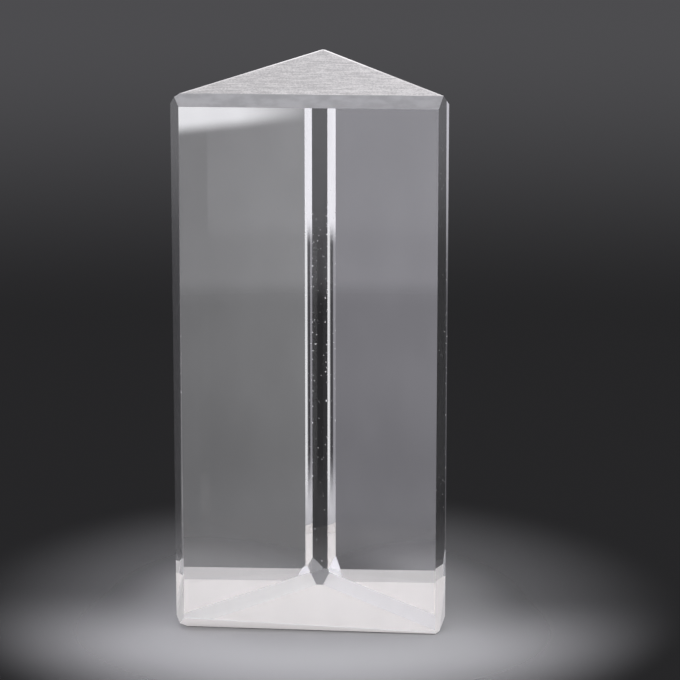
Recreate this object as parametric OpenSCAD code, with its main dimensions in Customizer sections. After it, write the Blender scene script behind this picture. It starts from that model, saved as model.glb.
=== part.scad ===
// Equilateral glass prism that stands on one of its ground ends.
// The axis through the centre of the triangle is Z, and the front face looks towards -Y.

/* [Glass] */
// Side of the front face, measured to the sharp corners of the triangle
side = 26.8; // [15:0.1:80]
// Length from one ground end to the other
length = 50; // [20:1:200]
// Refracting angle between the two rear faces
apex_angle = 60; // [40:1:90]

/* [Bevels] */
// Width of the bevel along the left long edge
left_bevel = 1.7; // [0.2:0.1:4]
// Width of the bevel along the right long edge
right_bevel = 2.4; // [0.2:0.1:4]
// Angle by which the right bevel is ground off the even slant, towards the right face
right_skew_angle = 9; // [-15:1:15]
// Width of the bevel along the rear long edge
rear_bevel = 1.4; // [0.2:0.1:4]
// Leg of the 45 degree bevel round each ground end
end_bevel = 1; // [0.2:0.1:3]
// Leg of that bevel at the foot of the front face, at its left end
front_foot_left = 1.3; // [0.2:0.05:3]
// Leg of that bevel at the foot of the front face, at its right end
front_foot_right = 0.1; // [0.05:0.05:3]
// Leg of that bevel at the foot of the rear long edge
rear_foot_bevel = 1.35; // [0.2:0.05:3]

/* [Hidden] */

// The triangle is isosceles, and its three faces lie at the same distance from the axis
base_angle = (180 - apex_angle) / 2;
face_distance = side / 2 * tan(base_angle / 2);

// Angles, seen from above and counted from +X, at which the faces and the long edges lie
front_face_angle = 270;
right_face_angle = apex_angle / 2;
left_face_angle = 180 - apex_angle / 2;
left_edge_angle = 180 + base_angle / 2;
right_edge_angle = 360 - base_angle / 2;
rear_edge_angle = 90;

// Each corner of the triangle: where it lies, its own angle, its bevel's width and skew
left_corner = [left_edge_angle, base_angle, left_bevel, 0];
right_corner = [right_edge_angle, base_angle, right_bevel, right_skew_angle];
rear_corner = [rear_edge_angle, apex_angle, rear_bevel, 0];

function heading(angle) = [cos(angle), sin(angle)];

// Where a bevel meets the face before its corner (-1) or after it (1), going round from +X to +Y
function bevel_point(corner, way) =
    let (
        out = face_distance / sin(corner[1] / 2),
        leg = corner[2] * sin(90 - corner[1] / 2 + way * corner[3]) / sin(corner[1])
    )
    out * heading(corner[0]) + leg * heading(corner[0] + 180 - way * corner[1] / 2);

// How far a bevel's plane lies from the axis
function bevel_distance(corner) = bevel_point(corner, 1) * heading(corner[0] + corner[3]);

outline = [
    for (corner = [left_corner, right_corner, rear_corner])
        for (way = [-1, 1])
            bevel_point(corner, way)
];

// The bevel at the foot of the front face narrows evenly from its left end to its right end
front_foot_bevel = (front_foot_left + front_foot_right) / 2;
front_foot_lean = atan((front_foot_right - front_foot_left) / side);

// The uprights that the end bevel runs along, each with its angle, its distance from the axis,
// and the leg and the lean of the bevel at its foot: the three faces and the rear bevel,
// while the two front bevels run out to a point between them
uprights = [
    [front_face_angle, face_distance, front_foot_bevel, front_foot_lean],
    [right_face_angle, face_distance, end_bevel, 0],
    [left_face_angle, face_distance, end_bevel, 0],
    [rear_edge_angle, bevel_distance(rear_corner), rear_foot_bevel, 0]
];

// The slope of the end bevel, and blocks that reach well past the glass that they cut away
end_slope = 45;
cut_depth = 4 * max(end_bevel, front_foot_left, front_foot_right, rear_foot_bevel);
cut_reach = 2 * (side + length);

// A block laid along a sharp end edge, whose inner side is the plane of the bevel
module end_cut(upright, height, tilt, leg, lean = 0) {
    rotate([0, 0, upright[0]])
        translate([upright[1], 0, height])
            rotate([lean, 0, 0])
                rotate([0, tilt, 0])
                    translate([cut_depth / 2 - leg * sin(end_slope), 0, 0])
                        cube([cut_depth, cut_reach, cut_depth], center = true);
}

module prism() {
    color([0.82, 0.86, 0.86, 0.5])
        difference() {
            linear_extrude(length)
                polygon(outline);
            for (upright = uprights) {
                end_cut(upright, 0, end_slope, upright[2], upright[3]);
                end_cut(upright, length, -end_slope, end_bevel);
            }
        }
}

prism();
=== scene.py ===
import math

import bmesh
import bpy
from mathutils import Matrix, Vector


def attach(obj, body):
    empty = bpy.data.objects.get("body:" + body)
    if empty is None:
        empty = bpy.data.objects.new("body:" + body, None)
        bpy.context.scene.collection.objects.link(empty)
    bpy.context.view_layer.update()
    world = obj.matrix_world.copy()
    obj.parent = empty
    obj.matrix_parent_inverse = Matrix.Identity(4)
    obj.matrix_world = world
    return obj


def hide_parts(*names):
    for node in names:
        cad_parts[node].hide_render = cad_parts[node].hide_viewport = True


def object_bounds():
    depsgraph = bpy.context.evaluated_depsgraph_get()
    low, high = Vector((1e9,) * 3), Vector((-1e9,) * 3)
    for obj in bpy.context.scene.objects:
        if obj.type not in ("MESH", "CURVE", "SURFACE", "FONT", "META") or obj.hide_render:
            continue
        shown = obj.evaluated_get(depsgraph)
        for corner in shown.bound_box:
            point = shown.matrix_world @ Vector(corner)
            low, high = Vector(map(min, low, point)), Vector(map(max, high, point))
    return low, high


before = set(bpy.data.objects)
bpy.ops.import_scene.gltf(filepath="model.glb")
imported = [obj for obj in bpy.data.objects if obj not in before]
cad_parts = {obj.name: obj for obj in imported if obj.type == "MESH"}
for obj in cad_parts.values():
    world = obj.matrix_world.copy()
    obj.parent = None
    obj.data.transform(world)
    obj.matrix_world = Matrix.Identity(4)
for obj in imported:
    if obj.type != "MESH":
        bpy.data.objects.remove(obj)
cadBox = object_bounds()
print("frame loaded:", sorted(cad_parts))

mm = 0.001
degrees = 180 / math.pi                                 # in one radian


# shader maths: a wire is one output socket, and sums on wires add Math nodes
class Wire:
    def __init__(self, tree, socket):
        self.tree = tree
        self.socket = socket

    def math(self, operation, *others, flip=False):
        sides = [self, *others]
        if flip:
            sides.reverse()
        return addNode(self.tree, "ShaderNodeMath", {"operation": operation}, dict(enumerate(sides)))

    def __add__(self, other):
        return self.math("ADD", other)

    def __radd__(self, other):
        return self.math("ADD", other, flip=True)

    def __sub__(self, other):
        return self.math("SUBTRACT", other)

    def __rsub__(self, other):
        return self.math("SUBTRACT", other, flip=True)

    def __mul__(self, other):
        return self.math("MULTIPLY", other)

    def __rmul__(self, other):
        return self.math("MULTIPLY", other, flip=True)

    def fade(self, start, end, low=0.0, high=1.0):
        ends = {"Value": self, "From Min": start, "From Max": end, "To Min": low, "To Max": high}
        return addNode(self.tree, "ShaderNodeMapRange", {"interpolation_type": "SMOOTHSTEP"}, ends)

    def mix(self, other, share):
        return self + share * (other - self)

    def feed(self, kind, socket="Surface"):
        self.tree.links.new(self.socket, self.tree.nodes.new(kind).inputs[socket])


# any other node: its type, settings, the values or wires of its sockets, and the output to go on from
def addNode(tree, kind, settings, values, out=0):
    node = tree.nodes.new(kind)
    for name, value in settings.items():
        setattr(node, name, value)
    for name, value in values.items():
        if isinstance(value, Wire):
            tree.links.new(value.socket, node.inputs[name])
        else:
            node.inputs[name].default_value = value
    return Wire(tree, node.outputs[out])


def freshTree(owner):
    owner.use_nodes = True
    owner.node_tree.nodes.clear()
    return owner.node_tree


def along(axis, tree, vector):
    return addNode(tree, "ShaderNodeSeparateXYZ", {}, {"Vector": vector}, axis)


# both mixing nodes have sockets of the same name, so those go by their numbers
mixColours = (6, 7)
mixColourOut = 2
mixShaders = (1, 2)


def blend(share, *colours):
    sockets = {"Factor": share, **dict(zip(mixColours, colours))}
    return addNode(share.tree, "ShaderNodeMix", {"data_type": "RGBA"}, sockets, mixColourOut)


def blendShaders(share, *shaders):
    sockets = {"Fac": share, **dict(zip(mixShaders, shaders))}
    return addNode(share.tree, "ShaderNodeMixShader", {}, sockets)


# camera at the photo's viewing angle
photoView = {
    "azimuth": 2.75,                                    # degrees to the right of straight ahead
    "elevation": 15.784,                                # degrees above the floor
    "distance": 342.64 * mm,
    "target": Vector((2.555, -7.614, 27.811)) * mm,
    "fieldOfView": 10.147,                              # degrees
    "nearest": 10 * mm,                                 # nothing closer to the camera is drawn
}


def addCamera(plan):
    turn = math.radians(plan["azimuth"])
    rise = math.radians(plan["elevation"])
    back = Vector((math.sin(turn) * math.cos(rise), -math.cos(turn) * math.cos(rise), math.sin(rise)))
    camera = bpy.data.objects.new("camera", bpy.data.cameras.new("camera"))
    camera.data.angle = math.radians(plan["fieldOfView"])
    camera.data.clip_start = plan["nearest"]
    camera.location = plan["target"] + back * plan["distance"]
    camera.rotation_euler = (-back).to_track_quat("-Z", "Y").to_euler()
    bpy.context.scene.collection.objects.link(camera)
    bpy.context.scene.camera = camera


addCamera(photoView)
print("camera set")


# plain soft studio: dark backdrop behind, grey walls to the sides, pale wall in front, bright ceiling
# angles are in degrees: rises, shades, feet and heads are elevations, the rest go round from behind
studio = {
    "behind": (0.02, 0.074),                            # tones below and above the rise
    "behindRise": (-15.5, -11.0),
    "tints": ((0.995, 0.977, 1.068, 1), (0.995, 0.993, 1.028, 1)),
    "tintSpan": (-50.0, 50.0),                          # from the left to the right
    "rightWall": (0.218, 0.164),                        # tones nearer to and further from the backdrop
    "rightWallSpan": (62.6, 66.2),
    "leftWall": (0.206, 0.228),
    "leftWallSpan": (57.0, 59.8),
    "leftToRight": (-10.0, 10.0),                       # where one wall gives way to the other
    "wallShades": [                                     # two elevations, and the walls' light at each
        (-14.35, -13.95, 1.06, 1.0),
        (-15.1, -14.85, 0.9, 1.0),
        (-18.3, -16.0, 0.83, 1.0),
        (-19.05, -18.55, 1.18, 1.0),
    ],
    "front": (0.05, 2.1),                               # tones below and above the rise
    "frontRise": (-5.0, 3.0),
    "lowRight": 0.8,                                    # what lies low on either side of straight ahead
    "lowRightFrom": (0.5, 2.5),                         # and how far from straight ahead it begins
    "lowLeft": 0.3,
    "lowLeftFrom": (7.5, 10.0),
    "ceiling": 1.96,
    "ceilingRise": (5.0, 60.0),
    "behindToSide": (48.5, 56.8),
    "sideToFront": (95.0, 150.0),
    "panels": [                                         # soft panels, low on either side behind
        {"tone": 0.8, "from": (62.9, 64.4), "to": (80.0, 84.0), "foot": (-12.66, -12.43), "slope": 0.1},
        {"tone": 0.6, "from": (-54.5, -53.0), "to": (-44.0, -40.0), "foot": (-15.6, -12.4), "slope": 0},
        {"tone": 0.125, "from": (15.0, 18.0), "to": (24.0, 27.0), "foot": (-14.6, -12.3), "slope": 0},
        {"tone": 0.125, "from": (-18.0, -16.0), "to": (-12.0, -9.5), "foot": (-14.6, -12.3), "slope": 0},
    ],
    "panelHead": (-9.0, -6.0),
    "seen": 0.97,                                       # no part of it looks brighter than this
}


def addStudio(plan):
    world = bpy.data.worlds.new("studio")
    bpy.context.scene.world = world
    tree = freshTree(world)
    direction = addNode(tree, "ShaderNodeTexCoord", {}, {}, "Generated")
    x, y, z = [along(axis, tree, direction) for axis in "XYZ"]
    elevation = z.math("ARCSINE") * degrees
    azimuth = x.math("ARCTAN2", y) * degrees            # from straight behind, to the right
    aside = azimuth.math("ABSOLUTE")
    ahead = x.math("ARCTAN2", 0 - y) * degrees          # from straight in front, to the right
    behind = elevation.fade(*plan["behindRise"], *plan["behind"])
    low = ahead.fade(*plan["lowRightFrom"], plan["front"][0], plan["lowRight"])
    low = low.math("MAXIMUM", (0 - ahead).fade(*plan["lowLeftFrom"], plan["front"][0], plan["lowLeft"]))
    front = low.mix(plan["front"][1], elevation.fade(*plan["frontRise"]))
    rightWall = aside.fade(*plan["rightWallSpan"], *plan["rightWall"])
    leftWall = aside.fade(*plan["leftWallSpan"], *plan["leftWall"])
    side = leftWall.mix(rightWall, azimuth.fade(*plan["leftToRight"]))
    for shade in plan["wallShades"]:
        side = side * elevation.fade(*shade)
    around = behind.mix(side, aside.fade(*plan["behindToSide"]))
    around = around.mix(front, aside.fade(*plan["sideToFront"]))
    for panel in plan["panels"]:
        foot = elevation + (azimuth - panel["from"][1]) * panel["slope"]
        share = foot.fade(*panel["foot"]) * elevation.fade(*plan["panelHead"], 1.0, 0.0)
        share = share * azimuth.fade(*panel["from"]) * azimuth.fade(*panel["to"], 1.0, 0.0)
        around = around.mix(panel["tone"], share)
    light = around.mix(plan["ceiling"], elevation.fade(*plan["ceilingRise"]))
    camera, glossy, transmitted, depth = [
        addNode(tree, "ShaderNodeLightPath", {}, {}, ray)
        for ray in ("Is Camera Ray", "Is Glossy Ray", "Is Transmission Ray", "Diffuse Depth")
    ]
    seen = camera.math("MAXIMUM", glossy).math("MAXIMUM", transmitted) * depth.math("LESS_THAN", 1)
    tone = light.mix(light.math("MINIMUM", plan["seen"]), seen)
    tint = blend(azimuth.fade(*plan["tintSpan"]), *plan["tints"])
    glow = addNode(tree, "ShaderNodeBackground", {}, {"Color": tint, "Strength": tone})
    glow.feed("ShaderNodeOutputWorld")


addStudio(studio)
print("studio lit")


# floor a hair under the ground end: light grey round the prism, pale further out in front
# round the prism the floor fades out into the dark as a painted pool of light
floorPlan = {
    "radius": 600 * mm,
    "segments": 64,
    "gap": 0.05 * mm,
    "lightPool": (12 * mm, 35 * mm),                         # fading out round the prism: a painted pool of light
    "far": (121 * mm, 136 * mm),                        # where the pale floor in front begins
    "farEnd": (260 * mm, 590 * mm),                     # and where it fades out
    "farSpan": (30.0, 60.0),                            # degrees away from straight in front
    "frontTone": 0.36,                                  # round the prism, in front of it
    "rearLightAndShade": (0.142, 0.055),                        # painted light close by, painted shade further off
    "rearSpan": (12 * mm, 20 * mm),
    "rearShadeFrom": (-16 * mm, 4 * mm),                     # from in front to behind: painted shade sets in
    "paintedLightLeft": (-9 * mm, -4 * mm, 1.22, 1.0),          # painted light: paler to the left
    "shade": 0.35,                                      # painted shadow: darker straight behind it
    "shadeFrom": (-40.0, -15.0),                        # degrees to the right of straight behind
    "shadeTo": (2.0, 9.5),
    "farTone": 0.53,
    "roughness": 0.7,
}


def addFloor(plan):
    bm = bmesh.new()
    bmesh.ops.create_circle(bm, cap_ends=True, segments=plan["segments"], radius=plan["radius"])
    bmesh.ops.translate(bm, verts=bm.verts, vec=(0, 0, cadBox[0].z - plan["gap"]))
    mesh = bpy.data.meshes.new("floor")
    bm.to_mesh(mesh)
    bm.free()
    material = bpy.data.materials.new("floor")
    tree = freshTree(material)
    place = addNode(tree, "ShaderNodeTexCoord", {}, {}, "Object")
    x, y = [along(axis, tree, place) for axis in "XY"]
    away = addNode(tree, "ShaderNodeVectorMath", {"operation": "LENGTH"}, {0: place}, "Value")
    aside = x.math("ARCTAN2", 0 - y).math("ABSOLUTE") * degrees
    turn = x.math("ARCTAN2", y) * degrees
    # painted pool of light: the floor round the prism fades out into the dark
    lightPool = away.fade(*plan["lightPool"], 1.0, 0.0)
    far = away.fade(*plan["far"]) * away.fade(*plan["farEnd"], 1.0, 0.0)
    far = far * aside.fade(*plan["farSpan"], 1.0, 0.0)
    # painted shade behind the prism, darkest straight behind it, with painted light close by and to the
    # left
    shade = turn.fade(*plan["shadeFrom"]) * turn.fade(*plan["shadeTo"], 1.0, 0.0)
    tone = away.fade(*plan["rearSpan"], *plan["rearLightAndShade"]) * x.fade(*plan["paintedLightLeft"])
    tone = tone.mix(tone * plan["shade"], shade)
    tone = tone.mix(plan["frontTone"], y.fade(*plan["rearShadeFrom"], 1.0, 0.0))
    tone = tone.mix(plan["farTone"], away.math("GREATER_THAN", plan["lightPool"][1]))
    paint = {"Base Color": tone, "Roughness": plan["roughness"], "Alpha": lightPool + far}
    addNode(tree, "ShaderNodeBsdfPrincipled", {}, paint).feed("ShaderNodeOutputMaterial")
    mesh.materials.append(material)
    floor = bpy.data.objects.new("floor", mesh)
    bpy.context.scene.collection.objects.link(floor)


addFloor(floorPlan)
print("floor laid")


# glass and its finishes
glassIor = 1.517
plainSpecular = 0.5
grainDetail = 3.0
warmth = (1, 0.98, 0.945)                               # red, green and blue of a warm grey


def grey(tone):
    return (tone, tone, tone, 1)


def warmGrey(tone):
    return (*[tone * part for part in warmth], 1)


# fine noise in the object's own millimetres, drawn out along an axis where its grain is long
def grain(tree, place, size):
    scale = tuple(1 / (side * mm) for side in size)
    spot = addNode(tree, "ShaderNodeMapping", {}, {"Vector": place, "Scale": scale})
    sockets = {"Vector": spot, "Scale": 1.0, "Detail": grainDetail}
    return addNode(tree, "ShaderNodeTexNoise", {}, sockets, "Fac")


def glass(tree, colour, plan):
    sockets = {
        "Base Color": colour,
        "Roughness": plan["roughness"],
        "IOR": glassIor,
        "Specular IOR Level": plan.get("specular", plainSpecular),
        "Transmission Weight": plan["transmission"],
    }
    return addNode(tree, "ShaderNodeBsdfPrincipled", {}, sockets)


def plain(tree, place, plan):
    return glass(tree, plan["colour"], plan)


def clouded(tree, place, plan):
    clouds = grain(tree, place, plan["grain"]).fade(*plan["limits"])
    return glass(tree, blend(clouds, *plan["colours"]), plan)


def graded(tree, place, plan):
    share = along(plan["axis"], tree, place).fade(*plan["span"])
    return glass(tree, blend(share, *plan["colours"]), plan)


# ground grain in streaks, with painted light growing paler to the right
def streakedAndLit(tree, place, plan):
    noise = grain(tree, place, plan["specks"]) + grain(tree, place, plan["streaks"])
    share = (noise + along("X", tree, place) * plan["lean"]).fade(*plan["limits"])
    return glass(tree, blend(share, *plan["colours"]), plan)


def chipped(tree, place, plan):
    chips = grain(tree, place, plan["grain"]).fade(*plan["limits"])
    return blendShaders(chips, plain(tree, place, plan["clear"]), plain(tree, place, plan["chip"]))


# chips gather towards the edges of the face, and stop part of the way up
def edgeChipped(tree, place, plan):
    x, z = [along(axis, tree, place) for axis in "XZ"]
    edges = x.math("ABSOLUTE").fade(*plan["edges"]) * z.fade(*plan["edgesFoot"])
    chips = (grain(tree, place, plan["grain"]) + edges).fade(*plan["limits"])
    chips = chips * z.fade(*plan["head"], 1.0, 0.0)
    return blendShaders(chips, plain(tree, place, plan["clear"]), plain(tree, place, plan["chip"]))


clearGlass = {"colour": grey(1), "roughness": 0.0, "transmission": 1.0}
whiteChip = {"colour": grey(0.95), "roughness": 0.6, "transmission": 0.0}

prismPlan = {
    "arris": 0.03 * mm,                                 # width of the broken edges round the foot
    "rim": 0.22 * mm,                                   # width of the painted highlights at the rear of the top
    "rimTurn": 30,                                      # degrees that they face to the rear
    "merge": 0.001 * mm,
    "snap": 0.00001 * mm,
    "flatWithin": 0.5,                                  # degrees
    "level": 0.9,                                       # faces are told apart by how steep they are
    "sloped": 0.1,
    "frontward": 0.3,                                   # and by where they face
    "broad": 200 * mm * mm,                             # the three polished faces are larger than this
    "tipArea": 4 * mm * mm,                             # the foot's bevel at the rear is smaller
    "rollRadius": 9.5 * mm,                             # the rear bevel is polished slightly round
    "rollTurns": (0.7, 1.4, 2.1, 2.8, 3.5, 4.2),        # degrees
    "tip": {                                            # worn corner at the foot of the rear bevel
        "spot": Vector((-0.7, 14.26, 2.5)) * mm,
        "outward": Vector((-0.25, 0.941, -0.232)),
    },
    "finishes": {                                       # grain in millimetres, limits of its noise
        "polishedGlass": {
            "paint": clouded,                           # faint smears
            "grain": (3.5, 3.5, 8),
            "limits": (0.35, 0.65),
            "colours": (grey(0.93), grey(1)),
            "roughness": 0.0,
            "transmission": 1.0,
        },
        "bevelGlass": {
            "paint": chipped,
            "grain": (0.14, 0.14, 0.2),
            "limits": (0.71, 0.74),
            "clear": clearGlass,
            "chip": whiteChip,
        },
        "rearGlass": {
            "paint": edgeChipped,
            "grain": (0.2, 0.2, 0.22),
            "limits": (0.703, 0.728),
            "edges": (0.45 * mm, 0.62 * mm, 0.0, 0.07),
            "edgesFoot": (8 * mm, 18 * mm),
            "head": (33 * mm, 39 * mm),
            "clear": clearGlass,
            "chip": whiteChip,
        },
        "satinBevel": {"paint": plain, "colour": grey(1), "roughness": 0.05, "transmission": 1.0},
        "frostedTip": {"paint": plain, "colour": grey(1), "roughness": 0.4, "transmission": 0.9},
        "wornTip": {"paint": plain, "colour": grey(1), "roughness": 0.12, "transmission": 0.72},
        "groundTop": {
            "paint": streakedAndLit,
            "specks": (0.16, 0.3, 0.3),
            "streaks": (1.6, 0.3, 0.3),
            "lean": 7.0,                                # painted light: for each metre, paler to the right
            "limits": (0.76, 1.3),
            "colours": (warmGrey(0.52), warmGrey(1)),
            "roughness": 0.6,
            "transmission": 0.65,
        },
        # painted highlight on the rims at the rear of the top, paler towards the rear
        "topRimHighlight": {
            "paint": graded,
            "axis": "Y",
            "span": (0, 9 * mm),
            "colours": (warmGrey(0.7), warmGrey(1)),
            "roughness": 0.6,
            "transmission": 0.3,
        },
        # painted shade on the sloping faces at the top: the top's ground glass in a darker grey, with
        # faint clouds
        "shadedGroundBevel": {
            "paint": clouded,
            "grain": (1.2, 0.6, 0.6),
            "limits": (0.3, 0.7),
            "colours": (grey(0.33), grey(0.43)),
            "roughness": 0.6,
            "transmission": 0.6,
        },
        "groundBase": {
            "paint": plain,
            "colour": (0.995, 0.965, 0.925, 1),
            "roughness": 0.8,
            "specular": 0.0,
            "transmission": 0.0,
        },
        "groundFoot": {
            "paint": graded,
            "axis": "Z",
            "span": (0, 0.5 * mm),
            "colours": (warmGrey(0.99), warmGrey(0.955)),
            "roughness": 0.385,
            "transmission": 0.4,
        },
        "brokenEdge": {"paint": plain, "colour": grey(0.96), "roughness": 0.6, "transmission": 0.15},
    },
}


def newMaterial(name, plan):
    material = bpy.data.materials.new(name)
    tree = freshTree(material)
    place = addNode(tree, "ShaderNodeTexCoord", {}, {}, "Object")
    plan["paint"](tree, place, plan).feed("ShaderNodeOutputMaterial")
    return material


def finishOf(face, plan):
    x, y, z = face.normal
    if z > plan["level"]:
        return "groundTop"
    if z > plan["sloped"]:
        return "shadedGroundBevel"
    if z < -plan["level"] or z < -plan["sloped"] and y < -plan["frontward"]:
        return "groundBase"
    if z < -plan["sloped"]:
        return "frostedTip" if face.calc_area() < plan["tipArea"] else "groundFoot"
    if face.calc_area() > plan["broad"]:
        return "polishedGlass"
    if y > plan["level"]:
        return "rearGlass"
    return "satinBevel" if x < 0 else "bevelGlass"


# splits a narrow rim off the top along one of its rear edges, for a painted highlight
def highlightRim(bm, outward, slot, plan):
    level = [face for face in bm.faces if face.normal.z > plan["level"]]
    top = max(level, key=lambda face: face.calc_area())
    line = max(vert.co.dot(outward) for vert in top.verts) - plan["rim"]
    geom = [top, *top.edges, *top.verts]
    cut = bmesh.ops.bisect_plane(bm, geom=geom, dist=plan["snap"],
                                 plane_co=outward * line, plane_no=outward)
    for each in cut["geom"]:
        if isinstance(each, bmesh.types.BMFace) and each.calc_center_median().dot(outward) > line:
            each.material_index = slot


# cuts off what lies beyond a plane and closes the cut with one face
def shave(bm, spot, outward, slot, plan):
    geom = [*bm.verts, *bm.edges, *bm.faces]
    cut = bmesh.ops.bisect_plane(bm, geom=geom, dist=plan["snap"],
                                 plane_co=spot, plane_no=outward, clear_outer=True)
    rim = [each for each in cut["geom_cut"] if isinstance(each, bmesh.types.BMEdge)]
    made = bmesh.ops.contextual_create(bm, geom=rim)
    for face in made["faces"]:
        face.material_index = slot


def addPrism(plan):
    slots = {name: slot for slot, name in enumerate(plan["finishes"])}
    bm = bmesh.new()
    bm.from_mesh(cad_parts["prism"].data)
    bmesh.ops.remove_doubles(bm, verts=bm.verts, dist=plan["merge"])
    flat = math.radians(plan["flatWithin"])
    bmesh.ops.dissolve_limit(bm, angle_limit=flat, verts=bm.verts, edges=bm.edges)
    print("prism block:", len(bm.faces), "faces,", len(bm.edges), "edges,", len(bm.verts), "corners")
    for face in bm.faces:
        face.material_index = slots[finishOf(face, plan)]
    rims = [
        edge for edge in bm.edges
        if any(face.normal.z < -plan["sloped"] for face in edge.link_faces)
    ]
    broken = bmesh.ops.bevel(bm, geom=rims, offset=plan["arris"], offset_type="WIDTH", affect="EDGES",
                             segments=1, profile=0.5, material=-1, clamp_overlap=True)
    for face in broken["faces"]:
        face.material_index = slots["brokenEdge"]
    turn = math.radians(plan["rimTurn"])
    for side in (-1, 1):
        highlightRim(bm, Vector((side * math.cos(turn), math.sin(turn), 0)), slots["topRimHighlight"], plan)
    rear = max(vert.co.y for vert in bm.verts)
    for rollTurn in plan["rollTurns"]:
        for side in (-1, 1):
            angle = math.radians(rollTurn) * side
            across = plan["rollRadius"] * math.tan(angle)
            spot = Vector((across, rear - across * across / 2 / plan["rollRadius"], 0))
            shave(bm, spot, Vector((math.sin(angle), math.cos(angle), 0)), slots["rearGlass"], plan)
    shave(bm, plan["tip"]["spot"], plan["tip"]["outward"], slots["wornTip"], plan)
    print("prism cut:", len(bm.faces), "faces, closed:", all(edge.is_manifold for edge in bm.edges))
    mesh = bpy.data.meshes.new("prism_glass")
    bm.to_mesh(mesh)
    bm.free()
    for name, finish in plan["finishes"].items():
        mesh.materials.append(newMaterial(name, finish))
    piece = bpy.data.objects.new("prism_glass", mesh)
    bpy.context.scene.collection.objects.link(piece)
    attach(piece, "root")
    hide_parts("prism")


addPrism(prismPlan)
print("prism made")

# light turns often inside the glass before it leaves
bounces = {"max_bounces": 32, "glossy_bounces": 32, "transmission_bounces": 32, "diffuse_bounces": 8}
for kind, count in bounces.items():
    setattr(bpy.context.scene.cycles, kind, count)
bpy.context.scene.view_settings.view_transform = "Standard"
